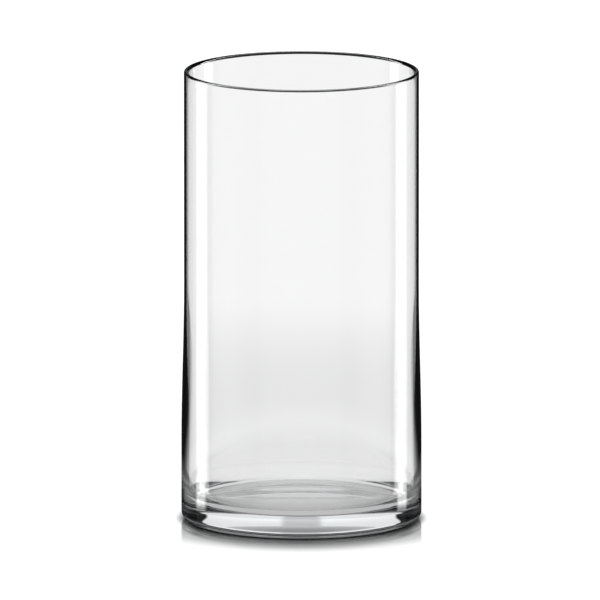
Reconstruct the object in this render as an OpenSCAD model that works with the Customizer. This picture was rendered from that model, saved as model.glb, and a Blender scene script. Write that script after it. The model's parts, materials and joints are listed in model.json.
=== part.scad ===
// Glass cylinder vase
//
// One piece of clear soda-lime glass: a straight round bore, a wall that thickens smoothly
// towards the foot, a heavy solid base and a polished lip that is rounded over its whole width.
// Millimetres, +Z up. The origin is the middle of the plane that the vase stands on.
// The whole body is one outline in (radius, height), turned round the Z axis.

/* [Overall] */
// Height from the standing plane to the top of the lip
vase_h = 228.6; // [175:0.1:300]
// Outside diameter of the upper wall
upper_d = 118.2; // [80:0.1:160]

/* [Wall] */
// Thickness of the upper wall, which is also the width of the lip
wall_t = 2.5; // [2:0.1:5]
// Radius of the lip's outer edge; the inner edge's curve takes the rest of the wall's thickness
lip_out_r = 1.0; // [0.5:0.1:1.5]
// How much further out the lower wall stands than the upper wall
foot_swell = 1.4; // [0.1:0.1:4]
// Height below which the lower wall has its full thickness
swell_bottom_z = 38; // [25:1:60]
// Height above which the upper wall is straight
swell_top_z = 122; // [80:1:160]

/* [Base] */
// Thickness of the solid base, from the standing plane to the inside floor
base_t = 10.5; // [6:0.5:25]
// Radius of the curve where the inside wall meets the floor
fillet_r = 8; // [2:0.5:20]
// Radius of the heel, where the outside wall turns under
heel_r = 4; // [1:0.5:8]
// Width of the flat ring that the vase stands on
ring_w = 5; // [3:0.5:15]
// Height of the hollow push-up inside the standing ring
push_up_h = 1; // [0.2:0.1:3]

/* [Smoothness] */
// Largest turn between neighbouring points of a round stretch, in degrees
arc_step = 7.5; // [3:0.5:15]

/* [Hidden] */

GLASS_TINT = [0.86, 0.92, 0.91, 0.45];
ROUND_SIDES = 240;

upper_r = upper_d / 2;
bore_r = upper_r - wall_t;
lip_in_r = wall_t - lip_out_r;
foot_r = upper_r + foot_swell;
ring_outer_r = foot_r - heel_r;
ring_inner_r = ring_outer_r - ring_w;

// Points on a circle about the given centre, from one angle to another, ends included
function arc(centre, radius, from, to) =
    let (steps = ceil(abs(to - from) / arc_step))
    [for (i = [0 : steps])
        let (angle = from + (to - from) * i / steps)
        centre + radius * [cos(angle), sin(angle)]];

// A smooth rise from 0 to 1 that starts and ends level
function ease(t) = (1 - cos(180 * t)) / 2;

// The push-up: a low dome that runs out level into the standing ring
push_up_steps = ceil(180 / arc_step);
push_up = [for (i = [0 : push_up_steps])
    let (t = i / push_up_steps)
    [ring_inner_r * t, push_up_h * (1 - ease(t))]];

// The outside wall's swell, going up from the foot to the upper wall
swell_steps = ceil(180 / arc_step);
swell = [for (i = [0 : swell_steps])
    let (t = i / swell_steps)
    [foot_r - foot_swell * ease(t), swell_bottom_z + (swell_top_z - swell_bottom_z) * t]];

heel = arc([foot_r - heel_r, heel_r], heel_r, -90, 0);
lip_outer = arc([upper_r - lip_out_r, vase_h - lip_out_r], lip_out_r, 0, 90);
lip_inner = arc([bore_r + lip_in_r, vase_h - lip_in_r], lip_in_r, 90, 180);
floor_fillet = arc([bore_r - fillet_r, base_t + fillet_r], fillet_r, 0, -90);
floor_centre = [[0, base_t]];

// The glass body: underside, heel, outside wall, lip, bore, fillet and floor, in that order
module vase_body() {
    color(GLASS_TINT)
        rotate_extrude($fn = ROUND_SIDES)
            polygon(concat(push_up, heel, swell, lip_outer, lip_inner, floor_fillet, floor_centre));
}

vase_body();
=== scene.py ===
"""A clear glass cylinder vase on a pale studio floor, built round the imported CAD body.

The CAD holds the sizes. This script turns the same outline again as a much finer glass mesh with
smooth shading, gives it a clear glass material and lights it like a product shot. All lengths are
in metres. The studio's cards are laid out for a camera on the -Y side that looks slightly down.
"""

import json
import math

import bpy
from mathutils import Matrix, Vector


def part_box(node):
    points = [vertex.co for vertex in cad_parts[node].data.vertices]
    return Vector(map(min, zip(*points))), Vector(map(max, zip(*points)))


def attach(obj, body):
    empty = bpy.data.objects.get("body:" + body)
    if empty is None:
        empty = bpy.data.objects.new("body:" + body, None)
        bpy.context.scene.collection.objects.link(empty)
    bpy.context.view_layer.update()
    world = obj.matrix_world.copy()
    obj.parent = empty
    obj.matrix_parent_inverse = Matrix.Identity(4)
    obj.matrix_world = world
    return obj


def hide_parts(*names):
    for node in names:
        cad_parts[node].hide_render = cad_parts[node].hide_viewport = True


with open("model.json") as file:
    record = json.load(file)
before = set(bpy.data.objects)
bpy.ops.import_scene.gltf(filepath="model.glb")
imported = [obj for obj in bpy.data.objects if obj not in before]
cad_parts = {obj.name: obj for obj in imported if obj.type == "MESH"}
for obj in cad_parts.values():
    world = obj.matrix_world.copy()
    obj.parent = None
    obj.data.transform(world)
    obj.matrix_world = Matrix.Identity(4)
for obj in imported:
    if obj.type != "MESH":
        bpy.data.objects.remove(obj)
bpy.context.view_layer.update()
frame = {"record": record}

NODE = "vase_body"
BOX_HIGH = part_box(NODE)[1]
MOUNTS = {mount["name"]: mount for mount in frame["record"]["mounts"]}

# Sizes that come from the frame
HEIGHT = BOX_HIGH.z
FOOT_R = BOX_HIGH.x
BORE_R = MOUNTS["mouth"]["dims"]["r_mm"] / 1000

# Sizes of the outline that the frame doesn't state, as in the CAD source
WALL_T = 0.0025
LIP_OUT_R = 0.0010
UPPER_R = BORE_R + WALL_T
BASE_T = 0.0105
FILLET_R = 0.008
HEEL_R = 0.004
RING_W = 0.005
PUSH_UP_H = 0.001
SWELL_BOTTOM_Z = 0.038
SWELL_TOP_Z = 0.122

# How finely the glass is turned
SEGMENTS = 372
ARC_STEP = math.radians(3.0)
WALL_STEP = 0.004
FLOOR_STEP = 0.003

# The glass, which takes a little more red than blue out of the light
GLASS_IOR = 1.52
TINT_COLOUR = (0.2, 0.6, 0.8, 1)
TINT_DENSITY = 0.5

# Camera: a long lens, looking slightly down
ELEVATION = math.radians(10.25)
LENS_MM = 1500
SENSOR_MM = 36
VIEW_WIDTH = 0.3020
AIM = Vector((-0.00073, 0, 0.1114))
CLIP_START, CLIP_END = 0.1, 100

# The studio floor: half its width, and how far it lies below the vase so that they don't touch
FLOOR_HALF = 20
FLOOR_DROP = 0.0001

# Bounces of light, enough to follow it along the inside of the glass
MAX_BOUNCES = 32
GLASS_BOUNCES = 24


# ---------------------------------------------------------------- outline of the glass

def ease(t):
    """A smooth rise from 0 to 1 that starts and ends level."""
    return (1 - math.cos(math.pi * t)) / 2


def steps_between(start, end, spacing):
    """Evenly spaced values from start to end, both included."""
    count = max(1, math.ceil(abs(end - start) / spacing))
    return [start + (end - start) * i / count for i in range(count + 1)]


def arc(centre_r, centre_z, radius, start_deg, end_deg):
    """Points (r, z) on a circle, ends included."""
    angles = steps_between(math.radians(start_deg), math.radians(end_deg), ARC_STEP)
    return [(centre_r + radius * math.cos(a), centre_z + radius * math.sin(a)) for a in angles]


def outline():
    """The half section of the glass as (r, z), from the underside's centre round to the floor's."""
    ring_outer = FOOT_R - HEEL_R
    ring_inner = ring_outer - RING_W
    push_up = [
        (r, PUSH_UP_H * (1 - ease(r / ring_inner)))
        for r in steps_between(0, ring_inner, FLOOR_STEP)
    ]
    heel = arc(ring_outer, HEEL_R, HEEL_R, -90, 0)
    lower = [(FOOT_R, z) for z in steps_between(HEEL_R, SWELL_BOTTOM_Z, WALL_STEP)[1:-1]]
    swell = [
        (FOOT_R - (FOOT_R - UPPER_R) * ease((z - SWELL_BOTTOM_Z) / (SWELL_TOP_Z - SWELL_BOTTOM_Z)), z)
        for z in steps_between(SWELL_BOTTOM_Z, SWELL_TOP_Z, WALL_STEP)
    ]
    lip_out_z = HEIGHT - LIP_OUT_R
    lip_in_r = WALL_T - LIP_OUT_R
    lip_in_z = HEIGHT - lip_in_r
    upper = [(UPPER_R, z) for z in steps_between(SWELL_TOP_Z, lip_out_z, WALL_STEP)[1:-1]]
    lip = arc(UPPER_R - LIP_OUT_R, lip_out_z, LIP_OUT_R, 0, 90)[:-1]
    lip = lip + arc(BORE_R + lip_in_r, lip_in_z, lip_in_r, 90, 180)
    floor_top = BASE_T + FILLET_R
    bore = [(BORE_R, z) for z in steps_between(lip_in_z, floor_top, WALL_STEP)[1:-1]]
    fillet = arc(BORE_R - FILLET_R, floor_top, FILLET_R, 0, -90)
    floor = [(r, BASE_T) for r in steps_between(BORE_R - FILLET_R, 0, FLOOR_STEP)[1:]]
    return push_up + heel + lower + swell + upper + lip + bore + fillet + floor


def turned_mesh(name, points):
    """A closed mesh: the outline turned round Z. Its first and last points are on the axis."""
    verts, faces = [], []
    rings = points[1:-1]
    for r, z in rings:
        for i in range(SEGMENTS):
            a = 2 * math.pi * i / SEGMENTS
            verts.append((r * math.cos(a), r * math.sin(a), z))
    first_pole = len(verts)
    verts.append((0, 0, points[0][1]))
    last_pole = len(verts)
    verts.append((0, 0, points[-1][1]))
    for k in range(len(rings) - 1):
        low, high = k * SEGMENTS, (k + 1) * SEGMENTS
        for i in range(SEGMENTS):
            j = (i + 1) % SEGMENTS
            faces.append((low + i, low + j, high + j, high + i))
    last_ring = (len(rings) - 1) * SEGMENTS
    for i in range(SEGMENTS):
        j = (i + 1) % SEGMENTS
        faces.append((first_pole, j, i))
        faces.append((last_pole, last_ring + i, last_ring + j))
    mesh = bpy.data.meshes.new(name)
    mesh.from_pydata(verts, [], faces)
    mesh.polygons.foreach_set("use_smooth", [True] * len(mesh.polygons))
    mesh.validate()
    mesh.update()
    return mesh


def add_object(name, data):
    obj = bpy.data.objects.new(name, data)
    bpy.context.scene.collection.objects.link(obj)
    return obj


# ---------------------------------------------------------------- materials

def new_material(name):
    material = bpy.data.materials.new(name)
    material.use_nodes = True
    nodes = material.node_tree.nodes
    nodes.clear()
    return material, nodes, material.node_tree.links


def glass_material():
    """Smooth clear glass with a faint cool absorption."""
    material, nodes, links = new_material("clear_glass")
    out = nodes.new("ShaderNodeOutputMaterial")
    shader = nodes.new("ShaderNodeBsdfPrincipled")
    shader.inputs["Base Color"].default_value = (1, 1, 1, 1)
    shader.inputs["Transmission Weight"].default_value = 1
    shader.inputs["Roughness"].default_value = 0
    shader.inputs["IOR"].default_value = GLASS_IOR
    links.new(shader.outputs["BSDF"], out.inputs["Surface"])
    tint = nodes.new("ShaderNodeVolumeAbsorption")
    tint.inputs["Color"].default_value = TINT_COLOUR
    tint.inputs["Density"].default_value = TINT_DENSITY
    links.new(tint.outputs["Volume"], out.inputs["Volume"])
    return material


RISE_SOCKETS = ("Value", "From Min", "From Max", "To Min", "To Max")


class Graph:
    """Short ways to add nodes to one material or world. A value is a number or another node's output."""

    def __init__(self, tree):
        self.nodes = tree.nodes
        self.links = tree.links

    def feed(self, socket, value):
        if isinstance(value, (int, float)):
            socket.default_value = value
        else:
            self.links.new(value, socket)

    def math(self, operation, a, b=0.0):
        node = self.nodes.new("ShaderNodeMath")
        node.operation = operation
        self.feed(node.inputs[0], a)
        self.feed(node.inputs[1], b)
        return node.outputs[0]

    def plus(self, a, b):
        return self.math("ADD", a, b)

    def minus(self, a, b):
        return self.math("SUBTRACT", a, b)

    def times(self, a, b):
        """The product, which is also the logical and of two tests."""
        return self.math("MULTIPLY", a, b)

    def size(self, a):
        return self.math("ABSOLUTE", a)

    def root(self, a):
        """The square root, or 0 where a is negative."""
        return self.math("SQRT", self.math("MAXIMUM", a, 0.0))

    def rise(self, value, low, high, to_low=0.0, to_high=1.0):
        """Goes smoothly from to_low to to_high as value goes from low to high."""
        node = self.nodes.new("ShaderNodeMapRange")
        node.interpolation_type = "SMOOTHSTEP"
        for name, item in zip(RISE_SOCKETS, (value, low, high, to_low, to_high)):
            self.feed(node.inputs[name], item)
        return node.outputs["Result"]

    def rise_about(self, value, middle, reach, to_low, to_high):
        """The same, from reach below the middle to reach above it."""
        return self.rise(value, self.minus(middle, reach), self.plus(middle, reach), to_low, to_high)

    def choose(self, test, when_0, when_1):
        """when_0 where test is 0 and when_1 where it is 1."""
        node = self.nodes.new("ShaderNodeMix")
        self.feed(node.inputs["Factor"], test)
        self.feed(node.inputs["A"], when_0)
        self.feed(node.inputs["B"], when_1)
        return node.outputs["Result"]

    def degrees_off_y(self, x, y):
        """The direction of (x, y) as an angle off +Y, the same to the left and to the right."""
        return self.math("DEGREES", self.math("ARCTAN2", self.size(x), y))

    def grey(self, level):
        node = self.nodes.new("ShaderNodeCombineXYZ")
        for socket in node.inputs:
            self.feed(socket, level)
        return node.outputs[0]

    def mix(self, share, a, b):
        """The shader a where share is 0, b where it is 1."""
        node = self.nodes.new("ShaderNodeMixShader")
        self.feed(node.inputs["Fac"], share)
        self.links.new(a, node.inputs[1])
        self.links.new(b, node.inputs[2])
        return node.outputs[0]

    def glow(self, strength):
        node = self.nodes.new("ShaderNodeEmission")
        self.feed(node.inputs["Strength"], strength)
        return node.outputs[0]


class Path:
    """What a ray has been through before it meets the stage. Scattered light counts as new.

    The counts are whole numbers, so each test falls halfway between two of them.
    """

    def __init__(self, g):
        path = g.nodes.new("ShaderNodeLightPath")
        fresh = g.math("LESS_THAN", path.outputs["Diffuse Depth"], 0.5)
        mirrored, crossed = path.outputs["Glossy Depth"], path.outputs["Transmission Depth"]
        self.reflected = g.times(g.math("GREATER_THAN", mirrored, 0.5), fresh)
        self.reflected_twice = g.times(g.math("GREATER_THAN", mirrored, 1.5), fresh)
        self.through = g.times(g.math("GREATER_THAN", crossed, 0.5), fresh)
        self.through_two_walls = g.times(g.math("GREATER_THAN", crossed, 2.5), fresh)
        self.by_way_of_glass = g.math("MAXIMUM", self.reflected, self.through)
        self.sharp = path.outputs["Is Singular Ray"]


# ---------------------------------------------------------------- the studio's cards
#
# Light that has come by way of the glass sees pale and dark cards: glow painted on the floor, and
# brightness set in the surround round about.
# A ramp is (from, to, value before, value after), and one with two numbers goes from 0 to 1.
# The end of its name says what it goes by. For a point of the floor, OFF is its distance off the
# vase's axis, REACH its distance out from the foot's edge and TRAVEL how far the light has come to
# it from the wall, all in metres. ANGLE is in degrees off +Y, and TILT in degrees above the horizon.

# Bands of brightness by degrees off +Y, as (from, to, brightness)
BACK_BANDS = [
    (80, 141, 0.40),
    (141, 200, 0.65),
]
BASE_BANDS = [
    (-20, 6.3, 0.68),
    (6.3, 41.3, 1.04),
    (120, 200, 0.2),
]
BAND_SOFT = 1.5

# The tall strip light, seen in the walls as a white line down each side
STRIP_LEFT, STRIP_RIGHT = 54.6, 69.8
STRIP_SOFT = 3.0
STRIP_LEVEL_LOW = 6.5
STRIP_OFF = (0.13, 0.20, STRIP_LEVEL_LOW, 3.2)
STRIP_TOP_TILT = (40, 60, 1.0, 0.0)

# The pale side card between the walls' dark edges and the strip. Its dark edge moves with distance.
SIDE_LEVEL = 0.75
SIDE_EDGE_FAR_OFF = (0.36, 0.70, 15.7, 0.0)
SIDE_EDGE_NEAR_OFF = (0.15, 0.33, 18.0, 24.3)
SIDE_EDGE_SOFT_OFF = (0.12, 0.42, 15, 2.2)
SIDE_END_ANGLE = (53, 57, 1.0, 0.0)
CARD_TURN_OFF = (0.22, 0.72, 3.8, 0.0)
SHADE = 0.015
SHADE_LIFT_OFF = (0.10, 0.13, 0.0, 0.10)
SHADE_LIFT_END_OFF = (0.16, 0.21, 1.0, 0.0)
FOOT_SHADE_TRAVEL = (0.045, 0.072, 0.02, 1.0)

# The same cards by a reflection inside one wall
INSIDE_ANGLE = (100, 140, 1.0, 0.1)
INSIDE_OFF = (0.10, 0.14, 0.35, 1.0)
HEEL_LEVEL = 0.53
HEEL_END_OFF = (0.064, 0.085)
HOOK_EDGE_OFF = (0.12, 0.18, 60, 25)
HOOK_SOFT = 6
HOOK_DARK = 0.03
HOOK_START_OFF = (0.12, 0.14)
TWICE_NEAR_OFF = (0.075, 0.10, 0.3, 0.65)
TWICE_NEAR_END_OFF = (0.12, 0.16)

# By a reflection after crossing two walls
BACK_WALL_ANGLE = (60, 120, 0.5, 0.1)
BACK_WALL_START_OFF = (0.13, 0.20)
BASE_OFF = (0.06, 0.085, 0.6, 0.97)
ASIDE_START_ANGLE = (40, 60)
ASIDE_END_ANGLE = (150, 165, 1.0, 0.0)
ASIDE_LEVEL = 0.04

# The floor straight through the glass, with painted shade that makes it darker near the vase.
# Past OPEN_OFF it is see-through, and the surround shows.
NEAR_PAINTED_SHADE_OFF = (0.050, 0.066, 0.40, 0.90)
FAR_PAINTED_SHADE_OFF = (0.28, 0.60, 0.83, 1.0)
NEAR_END_OFF = (0.09, 0.15)
OPEN_OFF = (0.135, 0.155)

# The surround straight through the glass: pale, dark above, and a dark card low on the +Y side
THROUGH_ONE_WALL, THROUGH_TWO_WALLS = 0.98, 1.05
HORIZON_TILT = (-2, 0, 1.0, 0.14)
DARK = 0.02
DARK_CARD_TOP_TILT = (-15.5, -14, 1.0, 0.0)
DARK_CARD_BOTTOM_TILT = (-56, -52)
DARK_CARD_ANGLE = (24, 30, 1.0, 0.0)

# The surround by reflection
WHITE = 1.2
PLAIN = 0.5
BASE_SLOPE_TILT = (6, 14, 1.0, 0.82)
BASE_LEAN_TILT = (10, 14, 0, 8)
BASE_LEAN_FROM = 12
INSIDE_TWICE = 0.3
TWO_WALLS_ONCE_ANGLE = (4, 9, 0.82, 0.1)
TWO_WALLS_TWICE_TILT = (25, 45, 0.15, 0.66)
TWO_WALLS_TWICE_ANGLE = (100, 130, 0.2, 1.0)

# The surround as the camera sees it and as it lights the floor
SURROUND_LEVEL = 1.25

# The bare floor: a painted contact shadow where the foot touches it, a painted soft shadow towards -Y,
# and its sheen. The shadow's front ramp goes by metres in front of the standing ring, and its back ramp
# by y in metres.
PAINTED_CONTACT_SHADOW_REACH = (-0.003, 0.0045, 0.10, 0.95)
PAINTED_SHADOW_FRONT = (-0.005, 0.042, 0.25, 1.0)
PAINTED_SHADOW_BACK = (-0.010, 0.005)
PAINTED_SHADOW_INSET, PAINTED_SHADOW_OUTSET = 0.004, 0.003
SHEEN_REACH = (0.003, 0.035, 0.8, 0.0)
SHEEN_FACING = (0.6, 0.8)
SHEEN_ROUGHNESS = 0.05

# Rounds of working out a card's angle, each of which starts from the last one's answer
CARD_ROUNDS = 3


def by_tilt(g, height, ramp):
    """A ramp in degrees above the horizon, for the height of a unit direction."""
    low, high, *levels = ramp
    return g.rise(height, math.sin(math.radians(low)), math.sin(math.radians(high)), *levels)


def by_reach(g, off, ramp):
    """A ramp by distance out from the foot's edge."""
    low, high, *levels = ramp
    return g.rise(off, FOOT_R + low, FOOT_R + high, *levels)


def band(g, angle, low, high, soft, level):
    up = g.rise_about(angle, low, soft, 0.0, 1.0)
    down = g.rise_about(angle, high, soft, 1.0, 0.0)
    return g.times(g.times(up, down), level)


def bands_at(g, angle, bands):
    total = 0.0
    for low, high, level in bands:
        total = g.plus(total, band(g, angle, low, high, BAND_SOFT, level))
    return total


def card_angle(g, x, y, off):
    """Where the sight line that meets the floor at (x, y) points, if a round wall has mirrored it.

    The line has come from the -Y side. The result is its direction in degrees off +Y, and how far
    it has come from the wall.
    """
    bearing = g.math("ARCTAN2", g.size(x), y)
    angle = 0.0
    for _ in range(CARD_ROUNDS):
        half = g.times(angle, 0.5)
        line_r = g.times(g.math("COSINE", half), FOOT_R)
        lean = g.math("ARCSINE", g.math("MINIMUM", g.math("DIVIDE", line_r, off), 1.0))
        angle = g.math("MAXIMUM", g.minus(bearing, lean), 0.0)
    along = g.root(g.minus(g.times(off, off), g.times(line_r, line_r)))
    travel = g.minus(along, g.times(g.math("SINE", half), FOOT_R))
    return g.math("DEGREES", angle), travel


def wall_cards(g, off, angle):
    """The cards that the walls mirror from the floor: the side card, the strip and the back bands."""
    edge = g.plus(g.rise(off, *SIDE_EDGE_FAR_OFF), g.rise(off, *SIDE_EDGE_NEAR_OFF))
    edge_soft = g.rise(off, *SIDE_EDGE_SOFT_OFF)
    shade = g.plus(SHADE, g.times(g.rise(off, *SHADE_LIFT_OFF), g.rise(off, *SHADE_LIFT_END_OFF)))
    side = g.rise_about(angle, edge, edge_soft, shade, SIDE_LEVEL)
    turned = g.minus(angle, g.rise(off, *CARD_TURN_OFF))
    side = g.times(side, g.rise(turned, *SIDE_END_ANGLE))
    strip = band(g, turned, STRIP_LEFT, STRIP_RIGHT, STRIP_SOFT, g.rise(off, *STRIP_OFF))
    return g.plus(g.plus(side, strip), bands_at(g, angle, BACK_BANDS))


def floor_by_inside(g, path, walls, off, angle):
    """The floor by a reflection inside one wall, with a dark hook beside the foot."""
    walls = g.times(walls, g.rise(angle, *INSIDE_ANGLE))
    hook = g.rise_about(angle, g.rise(off, *HOOK_EDGE_OFF), HOOK_SOFT, HOOK_DARK, 1.0)
    hooked = g.times(walls, hook)
    once = g.times(hooked, g.rise(off, *INSIDE_OFF))
    once = g.choose(g.rise(off, *HEEL_END_OFF), HEEL_LEVEL, once)
    hook_start = g.choose(g.rise(off, *HOOK_START_OFF), 1.0, hook)
    twice_near = g.times(g.rise(off, *TWICE_NEAR_OFF), hook_start)
    twice = g.choose(g.rise(off, *TWICE_NEAR_END_OFF), twice_near, hooked)
    return g.choose(path.reflected_twice, once, twice)


def floor_by_two_walls(g, path, off, angle, bearing):
    """The floor by a reflection after crossing two walls or the base."""
    aside = g.times(path.reflected_twice, g.rise(bearing, *ASIDE_START_ANGLE))
    aside = g.times(aside, g.rise(bearing, *ASIDE_END_ANGLE))
    by_base = g.choose(aside, g.rise(off, *BASE_OFF), ASIDE_LEVEL)
    return g.choose(g.rise(off, *BACK_WALL_START_OFF), by_base, g.rise(angle, *BACK_WALL_ANGLE))


def floor_by_reflection(g, path, x, y, off):
    angle, travel = card_angle(g, x, y, off)
    walls = wall_cards(g, off, angle)
    by_outside = g.times(walls, g.rise(travel, *FOOT_SHADE_TRAVEL))
    by_outside = g.choose(path.reflected_twice, by_outside, PLAIN)
    by_inside = floor_by_inside(g, path, walls, off, angle)
    by_two_walls = floor_by_two_walls(g, path, off, angle, g.degrees_off_y(x, y))
    by_wall = g.choose(path.through_two_walls, by_inside, by_two_walls)
    # The floor glows here with the painted cards' brightness, in place of light reflected from it
    return g.glow(g.choose(path.through, by_outside, by_wall))


def floor_straight(g, off):
    """The floor straight through the glass, with no reflection on the way. It glows with painted shade,
    darker near the vase.
    """
    # Painted shade: the glow's level is lower near the vase than far from it
    level = g.choose(g.rise(off, *NEAR_END_OFF), g.rise(off, *NEAR_PAINTED_SHADE_OFF), g.rise(off, *FAR_PAINTED_SHADE_OFF))
    open_floor = g.nodes.new("ShaderNodeBsdfTransparent")
    g.links.new(g.grey(level), open_floor.inputs["Color"])
    return g.mix(g.rise(off, *OPEN_OFF), g.glow(level), open_floor.outputs[0])


def painted_shadow_to_front(g, x, y):
    """A painted shadow: 1 in the open, and darker just in front of the standing ring, which is on the -Y
    side.
    """
    ring = FOOT_R - HEEL_R
    chord = g.root(g.minus(ring * ring, g.times(x, x)))
    shadow = g.rise(g.minus(g.times(y, -1.0), chord), *PAINTED_SHADOW_FRONT)
    beside = g.rise(g.size(x), ring - PAINTED_SHADOW_INSET, FOOT_R + PAINTED_SHADOW_OUTSET)
    at_back = g.rise(y, *PAINTED_SHADOW_BACK)
    return g.choose(g.math("MAXIMUM", beside, at_back), shadow, 1.0)


def bare_floor(g, x, y, off):
    """The floor that the camera sees beside the vase: white, with a painted contact shadow and a painted
    soft shadow towards -Y, and a little sheen round the foot.
    """
    # Painted shade in the floor's colour: the contact shadow times the soft shadow towards -Y
    painted_shade = g.grey(g.times(by_reach(g, off, PAINTED_CONTACT_SHADOW_REACH), painted_shadow_to_front(g, x, y)))
    matt = g.nodes.new("ShaderNodeBsdfPrincipled")
    matt.inputs["Roughness"].default_value = 1
    matt.inputs["Specular IOR Level"].default_value = 0
    g.links.new(painted_shade, matt.inputs["Base Color"])
    sheen = g.nodes.new("ShaderNodeBsdfGlossy")
    sheen.inputs["Roughness"].default_value = SHEEN_ROUGHNESS
    g.links.new(painted_shade, sheen.inputs["Color"])
    facing = g.nodes.new("ShaderNodeLayerWeight").outputs["Facing"]
    sheen_share = g.times(by_reach(g, off, SHEEN_REACH), g.rise(facing, *SHEEN_FACING))
    return g.mix(sheen_share, matt.outputs["BSDF"], sheen.outputs[0])


def stage_material():
    """A plain white floor to the camera, and cards painted as glow to light that comes by way of the
    glass.
    """
    material, nodes, links = new_material("studio_floor")
    g = Graph(material.node_tree)
    path = Path(g)
    out = nodes.new("ShaderNodeOutputMaterial")
    split = nodes.new("ShaderNodeSeparateXYZ")
    links.new(nodes.new("ShaderNodeNewGeometry").outputs["Position"], split.inputs[0])
    x, y = split.outputs["X"], split.outputs["Y"]
    off = g.root(g.plus(g.times(x, x), g.times(y, y)))
    seen = g.mix(path.reflected, floor_straight(g, off), floor_by_reflection(g, path, x, y, off))
    links.new(g.mix(path.by_way_of_glass, bare_floor(g, x, y, off), seen), out.inputs["Surface"])
    return material


def surround_straight(g, path, height, angle):
    """The surround straight through the glass. The dark card draws the lip's line."""
    card = g.times(by_tilt(g, height, DARK_CARD_TOP_TILT), by_tilt(g, height, DARK_CARD_BOTTOM_TILT))
    card = g.times(card, g.rise(angle, *DARK_CARD_ANGLE))
    pale = g.choose(path.through_two_walls, THROUGH_ONE_WALL, THROUGH_TWO_WALLS)
    return g.times(g.choose(card, pale, DARK), by_tilt(g, height, HORIZON_TILT))


def surround_by_outside(g, path, height, angle):
    """The surround in the outside of the glass. A reflection that isn't sharp is the floor's sheen."""
    strip = band(g, angle, STRIP_LEFT, STRIP_RIGHT, STRIP_SOFT, STRIP_LEVEL_LOW)
    off_glass = g.plus(DARK, g.times(strip, by_tilt(g, height, STRIP_TOP_TILT)))
    off_glass = g.choose(path.reflected_twice, off_glass, PLAIN)
    return g.choose(path.sharp, WHITE, off_glass)


def surround_by_inside(g, path, height, angle):
    """The surround by a reflection inside the glass."""
    lean = by_tilt(g, height, BASE_LEAN_TILT)
    leant = g.math("MAXIMUM", g.minus(angle, lean), g.math("MINIMUM", angle, BASE_LEAN_FROM))
    one_wall = g.times(bands_at(g, leant, BASE_BANDS), by_tilt(g, height, BASE_SLOPE_TILT))
    one_wall = g.choose(path.reflected_twice, one_wall, g.times(one_wall, INSIDE_TWICE))
    once = g.rise(angle, *TWO_WALLS_ONCE_ANGLE)
    twice = g.times(by_tilt(g, height, TWO_WALLS_TWICE_TILT), g.rise(angle, *TWO_WALLS_TWICE_ANGLE))
    two_walls = g.choose(path.reflected_twice, once, twice)
    return g.choose(path.through_two_walls, one_wall, two_walls)


def studio_world():
    """Plain white to the camera and for lighting the floor, and cards by way of the glass."""
    world = bpy.data.worlds.new("studio")
    world.use_nodes = True
    tree = world.node_tree
    tree.nodes.clear()
    g = Graph(tree)
    path = Path(g)
    out = g.nodes.new("ShaderNodeOutputWorld")
    split = g.nodes.new("ShaderNodeSeparateXYZ")
    g.links.new(g.nodes.new("ShaderNodeTexCoord").outputs["Generated"], split.inputs[0])
    height = split.outputs["Z"]
    angle = g.degrees_off_y(split.outputs["X"], split.outputs["Y"])
    by_outside = surround_by_outside(g, path, height, angle)
    by_inside = surround_by_inside(g, path, height, angle)
    mirrored = g.choose(path.through, by_outside, by_inside)
    seen = g.choose(path.reflected, surround_straight(g, path, height, angle), mirrored)
    background = g.nodes.new("ShaderNodeBackground")
    background.inputs["Color"].default_value = (1, 1, 1, 1)
    g.feed(background.inputs["Strength"], g.choose(path.by_way_of_glass, SURROUND_LEVEL, seen))
    g.links.new(background.outputs[0], out.inputs["Surface"])
    return world


# ---------------------------------------------------------------- build

bpy.context.scene.cycles.max_bounces = MAX_BOUNCES
bpy.context.scene.cycles.glossy_bounces = GLASS_BOUNCES
bpy.context.scene.cycles.transmission_bounces = GLASS_BOUNCES

glass = add_object("vase_glass", turned_mesh("vase_glass", outline()))
glass.data.materials.append(glass_material())
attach(glass, "root")
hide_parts(NODE)

# Stage
floor_mesh = bpy.data.meshes.new("studio_floor")
corners = [(x * FLOOR_HALF, y * FLOOR_HALF, 0) for x, y in [(-1, -1), (1, -1), (1, 1), (-1, 1)]]
floor_mesh.from_pydata(corners, [], [(0, 1, 2, 3)])
floor = add_object("studio_floor", floor_mesh)
floor.location.z = -FLOOR_DROP
floor.data.materials.append(stage_material())

bpy.context.scene.world = studio_world()
bpy.context.scene.view_settings.view_transform = "Standard"

cam_data = bpy.data.cameras.new("camera")
cam_data.lens = LENS_MM
cam_data.sensor_width = SENSOR_MM
distance = LENS_MM / SENSOR_MM * VIEW_WIDTH
cam_data.clip_start = CLIP_START
cam_data.clip_end = CLIP_END
camera = add_object("camera", cam_data)
back = Vector((0, -math.cos(ELEVATION), math.sin(ELEVATION)))
camera.location = AIM + back * distance
camera.rotation_euler = (math.pi / 2 - ELEVATION, 0, 0)
bpy.context.scene.camera = camera
